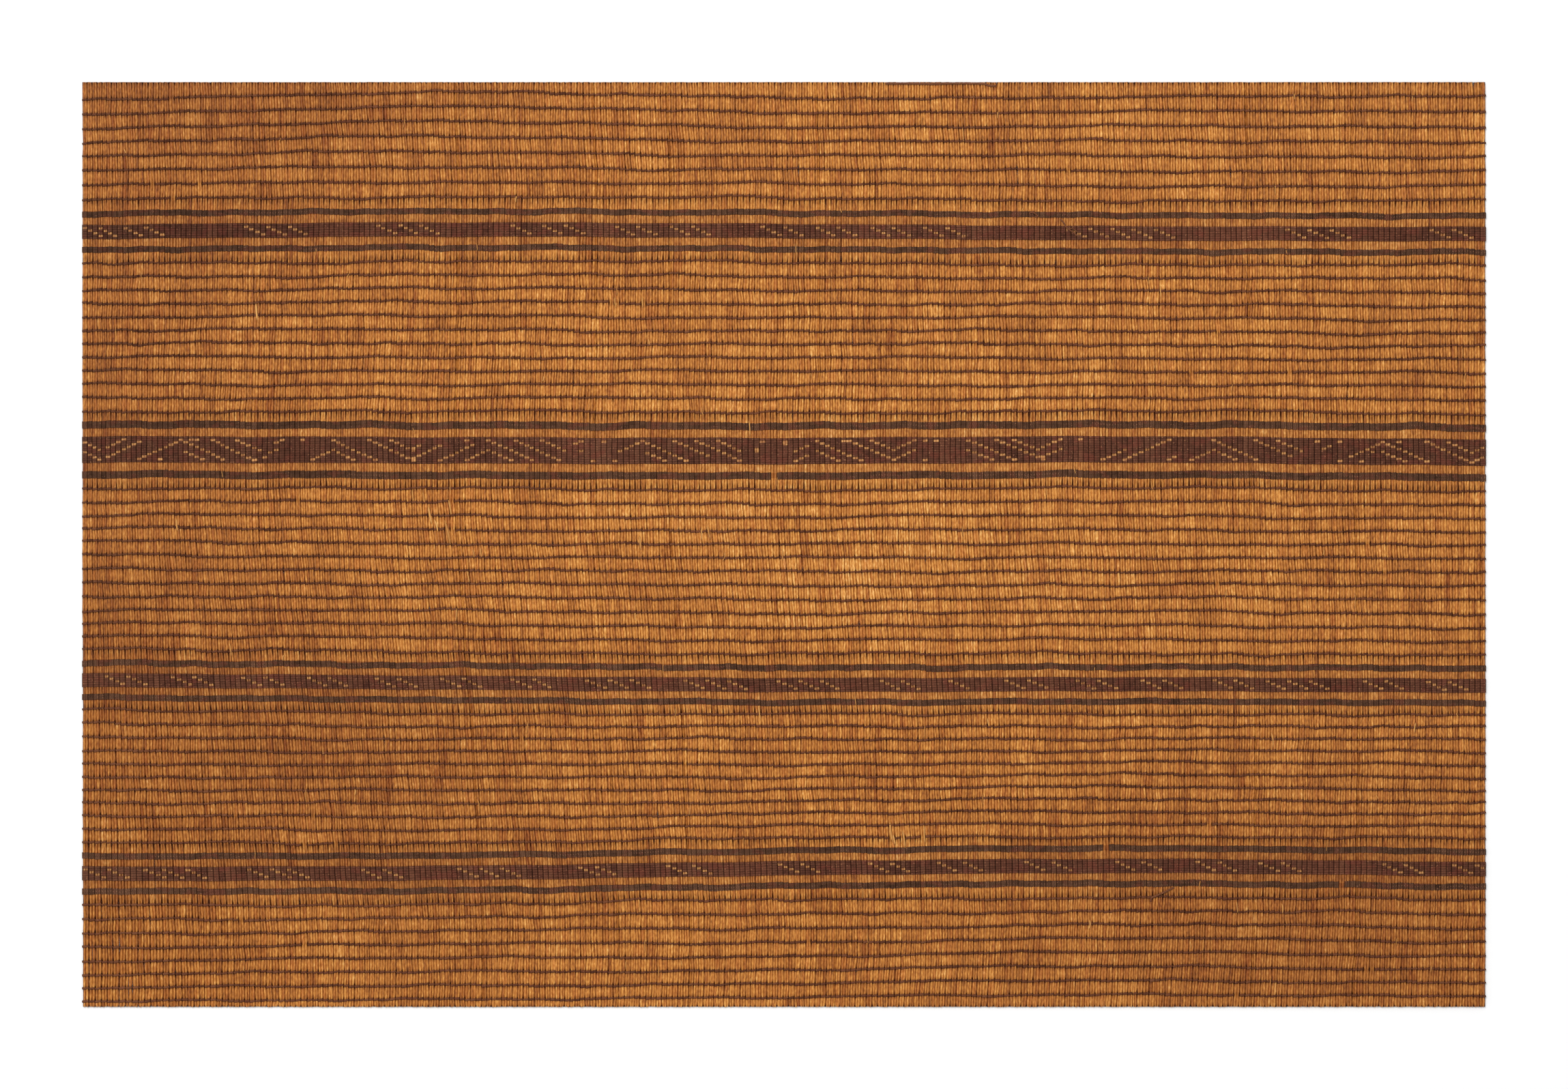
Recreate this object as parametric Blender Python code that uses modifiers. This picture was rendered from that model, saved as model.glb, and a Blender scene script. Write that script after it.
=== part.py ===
"""A flat mat of grass reeds held together by rows of leather thong.

The reeds lie side by side along Y. Thin thong rows cross them along X, and between those run four
patterned brown bands, each with a black line on either side. The mat lies face up on the ground with
its origin in the middle of its underside, X across the reeds and the photographed face up.
"""
import math

import bmesh
import bpy

# Driving sizes, in metres
MAT_WIDTH = 1.800
MAT_DEPTH = 1.186
REED_THICKNESS = 0.0033
THONG_THICKNESS = 0.0006
PLAY = 0.0003
THIN_ROW_HEIGHT = 0.0044

# The thongs lie on both faces, so they stand proud of the reeds by this much on each side
PROUD = THONG_THICKNESS + PLAY
HALF_REED = REED_THICKNESS / 2
HALF_MAT = HALF_REED + PROUD

# Straight pieces that a wavy row is made of, from one side edge to the other
ROW_STEPS = 12
MERGE_DISTANCE = 0.0001

# The rows wander. Each line is given by its distance from the far edge at five even stations from left
# to right, and the thin rows between two lines share out the field between them
STATIONS = 5
FIRST_ROW = (0.022, 0.013, 0.020, 0.019, 0.019)
LAST_ROW = (1.180, 1.175, 1.174, 1.169, 1.173)
THIN_ROWS_IN_FIELDS = (8, 12, 13, 11, 8)
BANDS = (
    # In metres: brown height, bare gap beside it, black height, distance of the band's middle line
    dict(brown=0.0182, gap=0.0104, black=0.0074, middle=(0.192, 0.189, 0.191, 0.194, 0.195)),
    dict(brown=0.0336, gap=0.0106, black=0.0092, middle=(0.471, 0.472, 0.473, 0.471, 0.475)),
    dict(brown=0.0178, gap=0.0094, black=0.0076, middle=(0.767, 0.770, 0.773, 0.772, 0.774)),
    dict(brown=0.0182, gap=0.0095, black=0.0078, middle=(1.015, 1.014, 1.008, 1.005, 1.009)),
)

# A slow ripple on top of that, each thin row a little out of step with the next
RIPPLE_HEIGHT = 0.0011
RIPPLE_LENGTH = 0.9
RIPPLE_SHIFT = 0.7

REED_COLOUR = (0.42, 0.19, 0.055, 1.0)
BROWN_COLOUR = (0.085, 0.035, 0.022, 1.0)
BLACK_COLOUR = (0.042, 0.027, 0.019, 1.0)


def clear_scene():
    for old in list(bpy.data.objects):
        bpy.data.objects.remove(old, do_unlink=True)


def make_material(name, colour, roughness):
    material = bpy.data.materials.new(name)
    material.use_nodes = True
    shader = material.node_tree.nodes["Principled BSDF"]
    shader.inputs["Base Color"].default_value = colour
    shader.inputs["Roughness"].default_value = roughness
    shader.inputs["Metallic"].default_value = 0.0
    return material


def read_stations(values, x):
    """A line's distance from the far edge at x, on a smooth curve through its stations."""
    place = (x / MAT_WIDTH + 0.5) * (STATIONS - 1)
    left = min(max(int(place), 0), STATIONS - 2)
    share = min(max(place - left, 0.0), 1.0)
    start, end = values[left], values[left + 1]
    slope_in = (end - values[max(left - 1, 0)]) / 2
    slope_out = (values[min(left + 2, STATIONS - 1)] - start) / 2
    cubic = 2 * start - 2 * end + slope_in + slope_out
    square = -3 * start + 3 * end - 2 * slope_in - slope_out
    return ((cubic * share + square) * share + slope_in) * share + start


def middle_to_black(band):
    """The distance from a band's middle line to the middle of either of its black lines."""
    return band["brown"] / 2 + band["gap"] + band["black"] / 2


def field_limits():
    """The lines above and below each field of thin rows: their stations and a shift down from them."""
    above = [(FIRST_ROW, 0.0)]
    below = []
    for band in BANDS:
        reach = middle_to_black(band)
        below.append((band["middle"], -reach))
        above.append((band["middle"], reach))
    below.append((LAST_ROW, 0.0))
    return list(zip(above, below))


def thin_rows():
    """Each thin row's two limiting lines and its share of the way from the upper to the lower one."""
    rows = []
    last_field = len(THIN_ROWS_IN_FIELDS) - 1
    for field, limits in enumerate(field_limits()):
        count = THIN_ROWS_IN_FIELDS[field]
        # The first and last rows of the mat are limits themselves
        steps = count if field in (0, last_field) else count + 1
        first = 0 if field == 0 else 1
        for number in range(first, first + count):
            rows.append((limits, number / steps))
    return rows


def thin_row_distance(rows, row_number, x):
    """A thin row's distance from the far edge at x."""
    (above, below), share = rows[row_number]
    upper = read_stations(above[0], x) + above[1]
    lower = read_stations(below[0], x) + below[1]
    ripple = RIPPLE_HEIGHT * math.sin(math.tau * x / RIPPLE_LENGTH + RIPPLE_SHIFT * row_number)
    return upper + (lower - upper) * share + ripple


def bent_grid(half_width, lines):
    """A grid whose long lines follow the given ones: pairs of a function that gives the distance
    from the far edge at x, and a height above the mat's middle plane."""
    shape = bmesh.new()
    last_line = len(lines) - 1
    bmesh.ops.create_grid(shape, x_segments=ROW_STEPS, y_segments=last_line, size=0.5)
    for vertex in shape.verts:
        distance, height = lines[round((0.5 - vertex.co.y) * last_line)]
        x = vertex.co.x * 2 * half_width
        vertex.co = (x, MAT_DEPTH / 2 - distance(x), height)
    return shape


def drop_edges(shape, edges):
    """Pull a skirt from these edges down to the middle plane."""
    skirt = bmesh.ops.extrude_edge_only(shape, edges=edges)
    for item in skirt["geom"]:
        if isinstance(item, bmesh.types.BMVert):
            item.co.z = 0.0


def finish_object(name, shape, material, collection):
    """Put the upper half at the height of the mat's middle plane and mirror it to the underside."""
    bmesh.ops.recalc_face_normals(shape, faces=shape.faces)
    mesh = bpy.data.meshes.new(name)
    shape.to_mesh(mesh)
    shape.free()
    mesh.materials.append(material)
    piece = bpy.data.objects.new(name, mesh)
    piece.location.z = HALF_MAT
    collection.objects.link(piece)
    mirror = piece.modifiers.new("underside", "MIRROR")
    mirror.use_axis = (False, False, True)
    mirror.merge_threshold = MERGE_DISTANCE
    return piece


def make_reed_sheet(material, collection):
    """The reeds as one slab, with the thin rows raised on both faces as low ridges."""
    rows = thin_rows()
    ridge = ((-THIN_ROW_HEIGHT / 2, HALF_REED), (0.0, HALF_MAT), (THIN_ROW_HEIGHT / 2, HALF_REED))
    lines = [(lambda x: 0.0, HALF_REED)]
    for number in range(len(rows)):
        for offset, height in ridge:
            lines.append((lambda x, n=number, o=offset: thin_row_distance(rows, n, x) + o, height))
    lines.append((lambda x: MAT_DEPTH, HALF_REED))
    shape = bent_grid(MAT_WIDTH / 2 - PROUD, lines)
    drop_edges(shape, [edge for edge in shape.edges if edge.is_boundary])
    finish_object("reed_sheet", shape, material, collection)


def make_strap(name, stations, shift, height, material, collection):
    """A flat leather strap that goes over the reeds, round both side edges and back under them."""
    edges = (shift - height / 2, shift + height / 2)
    lines = [(lambda x, s=edge: read_stations(stations, x) + s, HALF_MAT) for edge in edges]
    shape = bent_grid(MAT_WIDTH / 2, lines)
    at_side = MAT_WIDTH / 2 - MERGE_DISTANCE
    drop_edges(shape, [edge for edge in shape.edges if all(abs(v.co.x) > at_side for v in edge.verts)])
    strap = finish_object(name, shape, material, collection)
    leather = strap.modifiers.new("leather", "SOLIDIFY")
    leather.thickness = THONG_THICKNESS
    leather.offset = -1.0
    leather.use_even_offset = True


def main():
    clear_scene()
    collection = bpy.data.collections.new("tuareg_mat")
    bpy.context.scene.collection.children.link(collection)
    reed = make_material("reed", REED_COLOUR, 0.55)
    brown = make_material("brown_leather", BROWN_COLOUR, 0.7)
    black = make_material("black_leather", BLACK_COLOUR, 0.7)

    make_reed_sheet(reed, collection)
    for number, band in enumerate(BANDS):
        reach = middle_to_black(band)
        first_line = 2 * number + 1
        make_strap(f"brown_band_{number + 1}", band["middle"], 0.0, band["brown"], brown, collection)
        make_strap(f"black_line_{first_line}", band["middle"], -reach, band["black"], black, collection)
        make_strap(f"black_line_{first_line + 1}", band["middle"], reach, band["black"], black, collection)


main()
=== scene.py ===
"""The looks of a flat mat of grass reeds twined together with leather thong.

Each reed and each thong row is a closed tube of its own. The reeds run along Y and the rows cross
them along X. The lines that the rows follow are those of the model that this script dresses.
"""
import math

import bpy
import numpy as np
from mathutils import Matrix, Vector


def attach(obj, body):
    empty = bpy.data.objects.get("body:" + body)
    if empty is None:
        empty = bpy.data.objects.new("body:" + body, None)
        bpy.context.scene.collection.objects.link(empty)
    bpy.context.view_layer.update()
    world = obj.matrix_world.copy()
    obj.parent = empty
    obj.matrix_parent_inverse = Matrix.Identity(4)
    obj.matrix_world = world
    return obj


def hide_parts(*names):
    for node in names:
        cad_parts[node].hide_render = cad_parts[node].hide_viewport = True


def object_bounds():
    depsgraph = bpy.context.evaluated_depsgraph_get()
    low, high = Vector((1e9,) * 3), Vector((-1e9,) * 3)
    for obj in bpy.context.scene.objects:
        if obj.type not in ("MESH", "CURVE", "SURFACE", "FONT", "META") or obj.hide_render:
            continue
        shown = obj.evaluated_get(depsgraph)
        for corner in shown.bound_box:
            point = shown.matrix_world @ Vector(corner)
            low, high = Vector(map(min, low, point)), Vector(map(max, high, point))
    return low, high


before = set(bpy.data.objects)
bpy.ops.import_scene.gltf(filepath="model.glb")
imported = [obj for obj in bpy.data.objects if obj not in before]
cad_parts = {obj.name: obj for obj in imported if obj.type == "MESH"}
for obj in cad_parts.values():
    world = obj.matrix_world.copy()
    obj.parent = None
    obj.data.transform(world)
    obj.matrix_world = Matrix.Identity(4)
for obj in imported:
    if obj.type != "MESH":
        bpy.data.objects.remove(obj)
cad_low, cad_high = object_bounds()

random = np.random.default_rng(41)

# Sizes in metres. The whole size comes from the model's bounds. A reed's half thickness, how far the
# thongs stand proud of the reeds, the bands and the rows are as in the model
MAT_WIDTH = cad_high.x - cad_low.x
MAT_DEPTH = cad_high.y - cad_low.y
MIDDLE_HEIGHT = (cad_low.z + cad_high.z) / 2
HALF_REED = 0.00165
PROUD = 0.0009

REEDS = 518
PAIRS = REEDS // 2
REED_PITCH = (MAT_WIDTH - 2 * PROUD) / REEDS

FIRST_ROW = (0.022, 0.013, 0.020, 0.019, 0.019)
LAST_ROW = (1.180, 1.175, 1.174, 1.169, 1.173)
THIN_ROWS_IN_FIELDS = (8, 12, 13, 11, 8)
BANDS = (
    # brown height, bare gap beside it, black height, distance of the band's middle from the far edge
    dict(brown=0.0182, gap=0.0104, black=0.0074, middle=(0.192, 0.189, 0.191, 0.194, 0.195)),
    dict(brown=0.0336, gap=0.0106, black=0.0092, middle=(0.471, 0.472, 0.473, 0.471, 0.475)),
    dict(brown=0.0178, gap=0.0094, black=0.0076, middle=(0.767, 0.770, 0.773, 0.772, 0.774)),
    dict(brown=0.0182, gap=0.0095, black=0.0078, middle=(1.015, 1.014, 1.008, 1.005, 1.009)),
)

# Ripples of the rows: the shift is how far each row is out of step with the one before it, in radians
THIN_RIPPLES = (
    dict(height=0.0011, length=0.90, shift=0.7),
    dict(height=0.0008, length=0.31, shift=0.9),
    dict(height=0.0006, length=0.137, shift=1.9),
    dict(height=0.0003, length=0.061, shift=2.6),
)
BAND_RIPPLES = (
    dict(height=0.0004, length=0.23, shift=1.3),
    dict(height=0.0003, length=0.11, shift=2.1),
)
BLACK_RIPPLES = (
    dict(height=0.0006, length=0.19, shift=1.7),
    dict(height=0.0004, length=0.083, shift=2.9),
)

# How far the reeds have drifted to the right and apart from the middle, each at even stations from the
# far edge to the near one, and how suddenly that ends at the mat's two sides
DRIFT = (-0.0120, -0.0105, -0.0081, -0.0083, -0.0084, -0.0083, -0.0085, -0.0093, -0.0090, -0.0076,
         -0.0042, 0.0001, 0.0028, 0.0067, 0.0083, 0.0104, 0.0125, 0.0146, 0.0142, 0.0123)
APART = (0.005, 0.004, 0.006, 0.010, 0.009, 0.004, -0.004, -0.014, -0.021)
DRIFT_POWER = 5

# The waves in which the reeds bend anew at every row, and how far from the mat's sides they fade out
BEND_LENGTHS = (0.055, 0.09, 0.16, 0.36)
BEND_HEIGHT = 0.00028
STRAIGHT_MARGIN = 0.02

# The waves in which each thin row and black line strays on its own, and the least and greatest share of
# their height that a line has
STRAY_LENGTHS = (0.034, 0.058, 0.110)
STRAY_HEIGHT = 0.00038
STRAY_SHARES = (0.4, 1.3)

# How uneven the reeds' widths are and between which shares of the mean they stay, and how far each reed
# is squeezed into its neighbours on either side
REED_UNEVEN = 0.11
NARROWEST_REED = 0.72
WIDEST_REED = 1.30
REED_SQUEEZE = 0.00018

# How ragged the reeds' ends are at the far and near edges, and how far pairs and single reeds stray
# sideways at each row
RAGGED_FAR = 0.0004
RAGGED_NEAR = 0.0006
PAIR_STRAY = 0.00014
REED_STRAY = 0.00009

# The least and greatest share of the usual thickness that a reed has, and how far it strays up and down
THICKNESS_SHARES = (0.93, 1.05)
REED_LIFT = 0.00007

# The section of a reed, in shares of its half width and half thickness
REED_SECTION = ((0.0, 1.0), (-1.0, 0.3), (-1.0, -0.3), (0.0, -1.0), (1.0, -0.3), (1.0, 0.3))

# Above how many degrees an edge stays sharp, on the reeds and on thongs that aren't rounded
REED_SHARP = 75
THONG_SHARP = 60

# How high a thong's face lies over the middle plane: on a pair of reeds, in the gaps between pairs,
# where it passes behind the reeds, and in the gaps beside such a place
OVER_PAIR = 0.00245
IN_GAP = 0.0016
BEHIND_REEDS = 0.0003
BESIDE_SPOT = 0.0007

# How far that height strays on the face and on the underside
FACE_STRAY = 0.00007
UNDERSIDE_STRAY = 0.00005

# Where a thong reaches its full height, as a share of the way from a pair's middle to the gap, the least
# and greatest share of a row's slant that a thong has, and the most of the row's height that it has
SHOULDER = 0.74
SLANT_SHARES = (0.4, 1.5)
TALLEST = 1.03

# How a row's thongs lie: how far they slant over a pair, how unevenly they lie, the least share of the
# row's height that a thong has, how far it swells in waves, the share of the row's height that is left
# in the gaps, and if its edges are rounded
THIN_LOOK = dict(slant=0.00052, uneven=0.00015, least=0.80, swell=0.08, pinch=0.74, rounded=True)
BAND_LOOK = dict(slant=0.00018, uneven=0.00005, least=0.93, swell=0.0, pinch=0.97, rounded=False)
BLACK_LOOK = dict(slant=0.00024, uneven=0.00010, least=0.90, swell=0.0, pinch=0.95, rounded=False)

# Half the height of a thin row along the reeds, and shares of a thong row's height for each thong in a
# brown band and in a black line, so that they just part in the one and press together in the other
THIN_HALF_HEIGHT = 0.00148
BAND_FILL = 0.99
BLACK_FILL = 1.048

# Diagonals in the narrow bands, by band: the pair at which the first one starts and how many run side
# by side. Each has one spot in each patterned row and starts four pairs after the one before
NARROW_ROWS = 4
DIAGONAL_PITCH = 4
NARROW_SPOTS = {
    0: ((0, 1), (3, 1), (7, 2), (30, 3), (54, 3), (79, 1), (85, 2), (98, 2), (108, 2), (125, 2),
        (135, 2), (145, 2), (155, 2), (182, 5), (222, 3), (249, 2)),
    2: ((4, 2), (16, 2), (29, 2), (41, 2), (54, 2), (66, 2), (79, 2), (93, 3), (111, 3), (128, 3),
        (147, 2), (160, 1), (170, 2), (183, 2), (195, 2), (208, 2), (218, 3), (236, 2), (248, 2)),
    3: ((0, 2), (11, 3), (30, 3), (51, 2), (69, 3), (91, 2), (108, 2), (128, 2), (145, 2), (158, 2),
        (174, 1), (179, 1), (191, 2), (205, 2), (217, 2), (240, 2), (253, 2)),
}

# Strokes in the wide band: first pair, first row, number of spots, and rows down for each pair along
WIDE_BAND = 1
WIDE_ROWS = 9
WIDE_SPOTS = (
    (0, 1, 4, 1), (4, 3, 4, -1), (0, 5, 4, 1), (4, 7, 7, -1), (10, 8, 9, -1), (14, 8, 1, 1),
    (19, 1, 8, 1), (19, 5, 4, 1), (20, 0, 2, 0), (24, 0, 9, 1), (28, 0, 5, 1), (33, 7, 1, 1),
    (34, 5, 2, -1), (35, 1, 2, -1), (40, 0, 1, 1), (42, 8, 5, -1), (46, 0, 9, 1), (47, 5, 4, 1),
    (52, 0, 9, 1), (56, 0, 5, 1), (61, 7, 6, -1), (61, 3, 2, -1), (66, 8, 7, -1), (70, 8, 5, -1),
    (70, 0, 1, 1), (74, 0, 9, 1), (75, 5, 4, 1), (80, 0, 9, 1), (84, 0, 5, 1), (91, 1, 2, -1),
    (92, 4, 1, 1), (94, 8, 1, 1), (96, 0, 1, 1), (98, 8, 1, 1), (99, 4, 4, -1), (103, 0, 9, 1),
    (104, 5, 4, 1), (109, 0, 7, 1), (113, 0, 9, 1), (117, 0, 5, 1), (124, 3, 1, 1), (124, 4, 1, 1),
    (125, 0, 1, 1), (129, 0, 1, 1), (129, 1, 1, 1), (131, 8, 3, -1), (131, 4, 3, -1), (135, 0, 9, 1),
    (135, 4, 5, 1), (140, 0, 1, 1), (141, 0, 9, 1), (145, 0, 5, 1), (150, 3, 4, -1), (150, 7, 4, -1),
    (155, 0, 1, 1), (157, 0, 1, 1), (155, 8, 1, 1), (163, 0, 9, 1), (163, 4, 5, 1), (168, 0, 9, 1),
    (172, 0, 5, 1), (177, 7, 4, -1), (177, 3, 4, -1), (184, 0, 1, 1), (188, 8, 5, -1), (192, 8, 9, -1),
    (200, 8, 2, -1), (204, 8, 4, -1), (208, 0, 9, 1), (208, 4, 5, 1), (216, 0, 7, 1), (220, 0, 5, 1),
    (228, 0, 1, 1), (229, 3, 2, -1), (232, 0, 1, 1), (232, 8, 1, 1), (236, 8, 1, 1), (234, 6, 7, -1),
    (238, 4, 1, 1), (240, 0, 9, 1), (240, 4, 5, 1), (243, 0, 1, 1), (248, 0, 9, 1), (252, 0, 5, 1),
    (257, 3, 2, -1), (257, 7, 2, -1),
)

# The height of the plain border rows of a brown band, as a share of a patterned row's
BORDER_HEIGHT = 0.9

# Over how many pairs the pattern darkens the leather, and how many spots a pair has there on average
# where it does so fully
PATTERN_REACH = 7
FULL_PATTERN = 0.6

# Places of stitches left out of the thin rows and black lines, as X and distance from the far edge, how
# far along the reeds they are looked for, and the chance that any other stitch of a thin row is left out
MISSED_STITCHES = (
    (-0.807, 0.137), (-0.752, 0.137), (-0.783, 0.150), (-0.222, 0.285), (-0.215, 0.285), (-0.183, 0.285),
    (-0.433, 0.571), (-0.427, 0.571), (-0.427, 0.540), (0.139, 0.969), (0.153, 0.969), (0.180, 0.969),
    (-0.013, 0.505), (0.411, 0.984), (0.744, 1.134), (0.751, 1.134), (0.544, 0.952), (-0.613, 0.975),
    (-0.574, 0.974), (0.718, 1.029), (0.581, 1.167),
)
MISS_REACH = 0.008
MISS_CHANCE = 0.0012

# Split bits of reed that lie on top: X and distance of the far end, length, shift of the near end and
# width
SLIVERS = (
    (-0.456, 0.544, 0.023, 0.0044, 0.0024), (-0.448, 0.561, 0.016, 0.0042, 0.0018),
    (-0.430, 0.536, 0.022, 0.0038, 0.0022), (-0.435, 0.562, 0.031, 0.0072, 0.0026),
    (-0.432, 0.571, 0.015, 0.0035, 0.0018), (-0.463, 0.525, 0.015, 0.0026, 0.0020),
    (-0.389, 0.597, 0.013, 0.0017, 0.0016), (-0.399, 0.599, 0.011, 0.0017, 0.0016),
    (0.136, 0.949, 0.026, 0.0035, 0.0022), (0.140, 0.965, 0.013, 0.0026, 0.0018),
    (0.152, 0.960, 0.022, 0.0035, 0.0022), (0.180, 0.954, 0.022, 0.0009, 0.0018),
    (-0.677, 0.284, 0.022, 0.0017, 0.0022), (-0.185, 0.582, 0.018, 0.0009, 0.0018),
    (-0.097, 0.570, 0.016, 0.0026, 0.0018), (-0.779, 0.560, 0.016, 0.0017, 0.0018),
    (-0.182, 0.276, 0.014, 0.0009, 0.0018), (-0.217, 0.276, 0.014, 0.0017, 0.0018),
)

# Finer fibres strewn all over: their number before those near a band are left out, the shares of the
# mat's width from its middle and of its depth that they lie in, their least and greatest length and
# width, the mean and spread of the shift of the near end, and how far they stay from a brown band
FIBRES = 170
FIBRES_ACROSS = (-0.49, 0.49)
FIBRES_DOWN = (0.01, 0.97)
FIBRE_LENGTHS = (0.005, 0.019)
FIBRE_WIDTHS = (0.0005, 0.0013)
FIBRE_SHIFT = (0.0005, 0.0015)
FIBRES_FROM_BAND = 0.01

# The rings along each sliver and fibre, how far they bow sideways, lie one higher than another and droop
# at both ends, and how they taper: places along them and the shares of their width there
SLIVER_RINGS = 6
SLIVER_BOW = 0.0005
SLIVER_LIFT = 0.0004
SLIVER_DROOP = 0.0005
SLIVER_TAPER = ((0.0, 0.2, 0.8, 1.0), (0.35, 1.0, 0.9, 0.25))

# Half the thickness of the slivers and of the loose thongs, and how far they sink in between the tops
# of the rows
SLIVER_HALF = 0.0002
LOOSE_HALF = 0.0004
SUNK = 0.0002

# Loose ends of thong, and last a bit of row on the far edge: half the width, then X, distance from the
# far edge and height at each bend
LOOSE_THONGS = (
    dict(half=0.0009, bends=((0.354, 0.176, 0.0), (0.358, 0.180, 0.0015), (0.361, 0.185, 0.001),
                             (0.366, 0.190, 0.002), (0.371, 0.193, 0.001), (0.375, 0.197, 0.0))),
    dict(half=0.0006, bends=((0.364, 0.190, 0.0), (0.369, 0.188, 0.002), (0.373, 0.190, 0.001),
                             (0.377, 0.193, 0.0))),
    dict(half=0.0008, bends=((0.314, 0.169, 0.0), (0.318, 0.167, 0.002), (0.323, 0.170, 0.0025),
                             (0.325, 0.173, 0.001), (0.321, 0.173, 0.0))),
    dict(half=0.0011, bends=((0.470, 1.051, 0.0), (0.471, 1.046, 0.001), (0.477, 1.043, 0.002),
                             (0.486, 1.039, 0.002), (0.493, 1.036, 0.001), (0.500, 1.032, 0.0))),
    dict(half=0.0013, bends=((0.130, 0.0022, 0.0), (0.160, 0.0020, 0.0), (0.190, 0.0026, 0.0),
                             (0.220, 0.0018, 0.0), (0.254, 0.0022, 0.0), (0.262, 0.0046, 0.0),
                             (0.272, 0.0052, 0.0))),
)
THONG_RINGS = 28

# The attributes of a loose thong, all over: as on the crest of a reed, halfway to the thong's edge
LOOSE_LOOK = dict(tone=0.3, pair_number=0.25, across=0.5, age=0.0, pattern=0.0)

# Browner areas of the reeds: centre, reach along X and Y, and how much older they look. Below 0 they
# look fresher
STAINS = (
    dict(x=-0.88, y=0.00, across=0.22, down=0.80, older=0.34),
    dict(x=-0.60, y=0.48, across=0.30, down=0.16, older=0.16),
    dict(x=-0.65, y=0.59, across=0.35, down=0.08, older=0.28),
    dict(x=0.68, y=-0.50, across=0.40, down=0.20, older=0.40),
    dict(x=-0.55, y=-0.25, across=0.25, down=0.14, older=0.30),
    dict(x=-0.45, y=-0.46, across=0.18, down=0.14, older=0.22),
    dict(x=0.15, y=0.06, across=0.42, down=0.24, older=-0.20),
)

# Darker areas of the thongs, in the same way
GRIME = (
    dict(x=-0.90, y=0.45, across=0.35, down=0.30, older=0.50),
    dict(x=-0.90, y=0.05, across=0.35, down=0.30, older=0.30),
    dict(x=0.90, y=0.10, across=0.25, down=0.50, older=0.15),
    dict(x=0.50, y=-0.50, across=0.60, down=0.30, older=0.15),
)

# Colours of the thongs, and how far they are flushed with red and worn, have painted shade in the
# middle and at the edges, are rubbed in dots and twilled, faded over some pairs, darker where the
# pattern is, and have painted shade between pairs
BROWN_LEATHER = dict(
    dark=(0.052, 0.0160, 0.0092), light=(0.152, 0.053, 0.028), reddish=(0.152, 0.039, 0.023),
    rubbed=(0.34, 0.15, 0.075), flush=0.5, wear=0.05, seam=0.0, edge=0.55, dots=0.0, twill=0.0,
    faded=0.10, dyed=0.45, between=(0.30, 0.25, 0.23),
)
BLACK_LEATHER = dict(
    dark=(0.045, 0.0192, 0.0103), light=(0.144, 0.067, 0.035), reddish=(0.150, 0.048, 0.026),
    rubbed=(0.32, 0.15, 0.082), flush=0.8, wear=0.05, seam=0.20, edge=0.25, dots=0.8, twill=0.7,
    faded=0.14, dyed=0.0, between=(0.50, 0.45, 0.43),
)
THIN_LEATHER = dict(
    dark=(0.056, 0.0176, 0.0090), light=(0.184, 0.063, 0.028), reddish=(0.135, 0.040, 0.022),
    rubbed=(0.30, 0.13, 0.060), flush=0.4, wear=0.03, seam=0.0, edge=0.20, dots=0.0, twill=0.0,
    faded=0.16, dyed=0.0, between=(0.42, 0.36, 0.34),
)

# What the thongs' colours are multiplied by where they are dyed, where painted shade falls in creases
# and along edges, where twilled or old, and how many twilled strokes there are on each pair of reeds
LEATHER_TINTS = dict(
    dyed=(0.78, 0.90, 0.96), crease_shade=(0.35, 0.30, 0.28), twill=(0.45, 0.40, 0.40), old=(0.45, 0.44, 0.48),
)
STROKES_IN_PAIR = 3.0

# The reeds' colours from dark to pale, each after its place on the scale of tones
REED_TONES = (
    (0.05, (0.212, 0.069, 0.015)),
    (0.30, (0.366, 0.129, 0.025)),
    (0.52, (0.512, 0.196, 0.037)),
    (0.75, (0.690, 0.307, 0.065)),
    (0.98, (0.880, 0.510, 0.172)),
)
SPLIT_REED_TONES = ((0.1, (0.38, 0.15, 0.032)), (0.9, (0.64, 0.32, 0.09)))

# What the reeds' colours are multiplied by: their own redder, smudged, old and odd colours, painted
# shade beside the bands, in the grooves, between pairs, near the rows and in the notches, and painted
# shade with rubbed-off leather where they show in the bands and black lines; and the colour that they
# are drawn to inside a brown band
REED_TINTS = dict(
    redder=(0.88, 0.72, 0.72),
    smudged=(0.62, 0.44, 0.40),
    old=(0.40, 0.24, 0.20),
    odd=(0.72, 0.62, 0.56),
    beside_band=(0.84, 0.82, 0.86),
    shade_and_rubbed_leather=(0.56, 0.44, 0.42),
    groove_shade=(0.54, 0.37, 0.21),
    between_pairs=(0.40, 0.30, 0.23),
    near_row=(0.79, 0.78, 0.74),
    notch=(0.38, 0.29, 0.25),
)
REED_IN_BAND = (0.74, 0.39, 0.150)

# About how far outside a brown band the bare reeds end, and the middle of the black line lies
BARE_GAP = 0.0105
BLACK_FROM_BAND = 0.0141

# The surfaces: depth of the bumps in metres, gloss and roughness
REED_BUMP = 0.00012
REED_SPECULAR = 0.2
LEATHER_BUMP = 0.0001
LEATHER_SPECULAR = 0.06
LEATHER_ROUGHNESS = 0.7

# Numbers that keep the materials' random draws apart, and the length over which the reeds are spread
# along their noise
DRAWS = dict(place=-3.0, odd=3.0, redness=5.0, parting=7.0, groove_shade_depth=9.0, faded=11.0)
NOISE_LENGTH = 97.0

# The floor and the light: a big lamp above to the left and behind, and an even white sky
FLOOR_SIZE = 16.0
FLOOR_COLOUR = (0.86, 0.86, 0.86, 1.0)
FLOOR_ROUGHNESS = 0.9
SKY_COLOUR = (1.0, 1.0, 1.0, 1.0)
SKY_STRENGTH = 0.68
LAMP_PLACE = (-1.4, 2.4, 6.5)
LAMP_SIZE = 3.0
LAMP_POWER = 340.0

# The camera looks straight down through a long lens, and the mat fills this share of the frame's width
CAMERA_HEIGHT = 5.0
SENSOR_WIDTH = 36.0
WIDTH_SHARE = 2058 / 2298


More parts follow.
